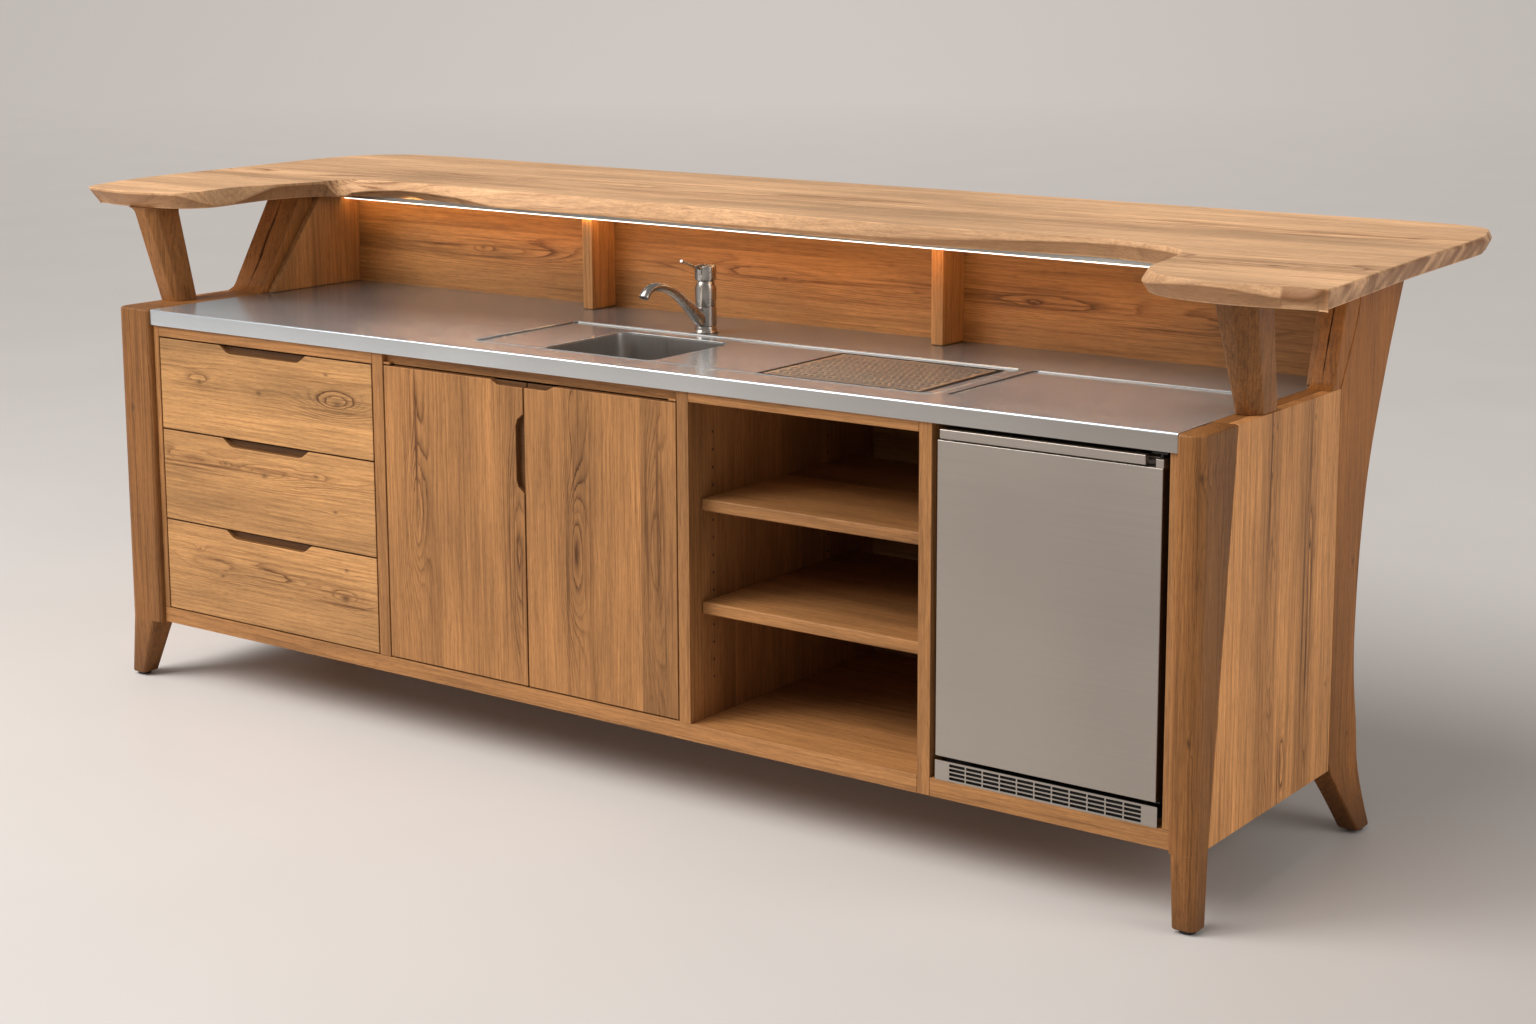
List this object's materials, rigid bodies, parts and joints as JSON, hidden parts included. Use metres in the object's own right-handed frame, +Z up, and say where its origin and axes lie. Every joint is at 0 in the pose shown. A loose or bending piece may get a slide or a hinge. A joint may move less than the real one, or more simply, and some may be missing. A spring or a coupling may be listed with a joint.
{
  "type": "bar counter",
  "caption": "Oak bar counter with a live-edge bar top on struts over a steel worktop with sink, mixer tap and drip tray; drawers, doors, open shelves and a built-in cooler below.",
  "frame": {"origin": "middle of the bounding box's footprint, on the floor", "axes": "+X along the counter towards the cooler, +Y from the working side to the guest side, +Z up"},
  "size_m": [3.3748, 1.264, 1.165],
  "materials": {
    "oak": "satin oil",
    "oak_frame": "satin oil",
    "oak_bar_top": "satin oil",
    "birch_ply": "matt lacquer",
    "brushed_steel": "brushed along the length",
    "polished_steel": "polished",
    "white_liner": "satin",
    "black_rubber": "matt",
    "shelf_glass": "clear",
    "led_light": "lit diffuser"
  },
  "bodies": {
    "counter": {"back_panel": "oak", "bar_top": "oak_bar_top", "base_panel": "oak", "cooler_cabinet": "white_liner", "cooler_divider": "oak", "cooler_shelf": "shelf_glass", "cooler_vent": "brushed_steel", "door_divider": "oak", "door_top_rail": "oak", "drawer_divider": "oak", "drawer_top_rail": "oak", "drip_tray": "brushed_steel", "faucet_body": "polished_steel", "led_bar": "led_light", "left_cheek": "oak", "left_end_cap": "oak_frame", "left_end_panel": "oak", "left_front_glide": "black_rubber", "left_front_post": "oak_frame", "left_front_strut": "oak_frame", "left_rear_glide": "black_rubber", "left_rear_leg": "oak_frame", "left_rear_strut": "oak_frame", "left_rib": "oak", "left_runner_rack": "brushed_steel", "left_side_board": "oak", "right_cheek": "oak", "right_end_cap": "oak_frame", "right_end_panel": "oak", "right_front_glide": "black_rubber", "right_front_post": "oak_frame", "right_front_strut": "oak_frame", "right_rear_glide": "black_rubber", "right_rear_leg": "oak_frame", "right_rear_strut": "oak_frame", "right_rib": "oak", "right_runner_rack": "brushed_steel", "right_side_board": "oak", "shelf_top_rail": "oak", "sink_bowl": "brushed_steel", "sink_waste": "polished_steel", "worktop_core": "birch_ply", "worktop_sheet": "brushed_steel"},
    "top_drawer": {"top_drawer_front": "oak", "top_drawer_box": "birch_ply"},
    "middle_drawer": {"middle_drawer_front": "oak", "middle_drawer_box": "birch_ply"},
    "bottom_drawer": {"bottom_drawer_front": "oak", "bottom_drawer_box": "birch_ply"},
    "left_door": {"left_door": "oak"},
    "right_door": {"right_door": "oak"},
    "cooler_door": {"cooler_door": "brushed_steel", "cooler_gasket": "black_rubber", "cooler_handle": "brushed_steel"},
    "faucet_spout": {"faucet_spout": "polished_steel"},
    "faucet_cap": {"faucet_cap": "polished_steel"},
    "faucet_lever": {"faucet_lever": "polished_steel"},
    "drip_grille": {"drip_grille": "polished_steel"},
    "upper_shelf": {"upper_shelf": "oak"},
    "lower_shelf": {"lower_shelf": "oak"}
  },
  "joints": [
    {"name": "top_drawer_slide", "type": "slide", "parent": "counter", "child": "top_drawer", "axis": [0, -1, 0], "range_m": [0, 0.42]},
    {"name": "middle_drawer_slide", "type": "slide", "parent": "counter", "child": "middle_drawer", "axis": [0, -1, 0], "range_m": [0, 0.42]},
    {"name": "bottom_drawer_slide", "type": "slide", "parent": "counter", "child": "bottom_drawer", "axis": [0, -1, 0], "range_m": [0, 0.42]},
    {"name": "left_door_hinge", "type": "hinge", "parent": "counter", "child": "left_door", "pos_m": [-0.46269, -0.611, 0.5], "axis": [0, 0, -1], "range_deg": [0, 90]},
    {"name": "right_door_hinge", "type": "hinge", "parent": "counter", "child": "right_door", "pos_m": [0.32831, -0.611, 0.5], "axis": [0, 0, 1], "range_deg": [0, 90]},
    {"name": "cooler_door_hinge", "type": "hinge", "parent": "counter", "child": "cooler_door", "pos_m": [1.39431, -0.602, 0.5], "axis": [0, 0, 1], "range_deg": [0, 100]},
    {"name": "spout_swivel", "type": "hinge", "parent": "counter", "child": "faucet_spout", "pos_m": [0.06631, -0.166, 0.916], "axis": [0, 0, 1], "range_deg": [-70, 70]},
    {"name": "cap_turn", "type": "hinge", "parent": "counter", "child": "faucet_cap", "pos_m": [0.06631, -0.166, 1.014], "axis": [0, 0, 1], "range_deg": [-45, 45]},
    {"name": "lever_lift", "type": "hinge", "parent": "faucet_cap", "child": "faucet_lever", "pos_m": [0.06631, -0.166, 1.0383], "axis": [-1, 0, 0], "range_deg": [0, 25]},
    {"name": "grille_lift", "type": "slide", "parent": "counter", "child": "drip_grille", "axis": [0, 0, 1], "range_m": [0, 0.12]},
    {"name": "upper_shelf_slide", "type": "slide", "parent": "counter", "child": "upper_shelf", "axis": [0, -1, 0], "range_m": [0, 0.3]},
    {"name": "lower_shelf_slide", "type": "slide", "parent": "counter", "child": "lower_shelf", "axis": [0, -1, 0], "range_m": [0, 0.3]}
  ]
}
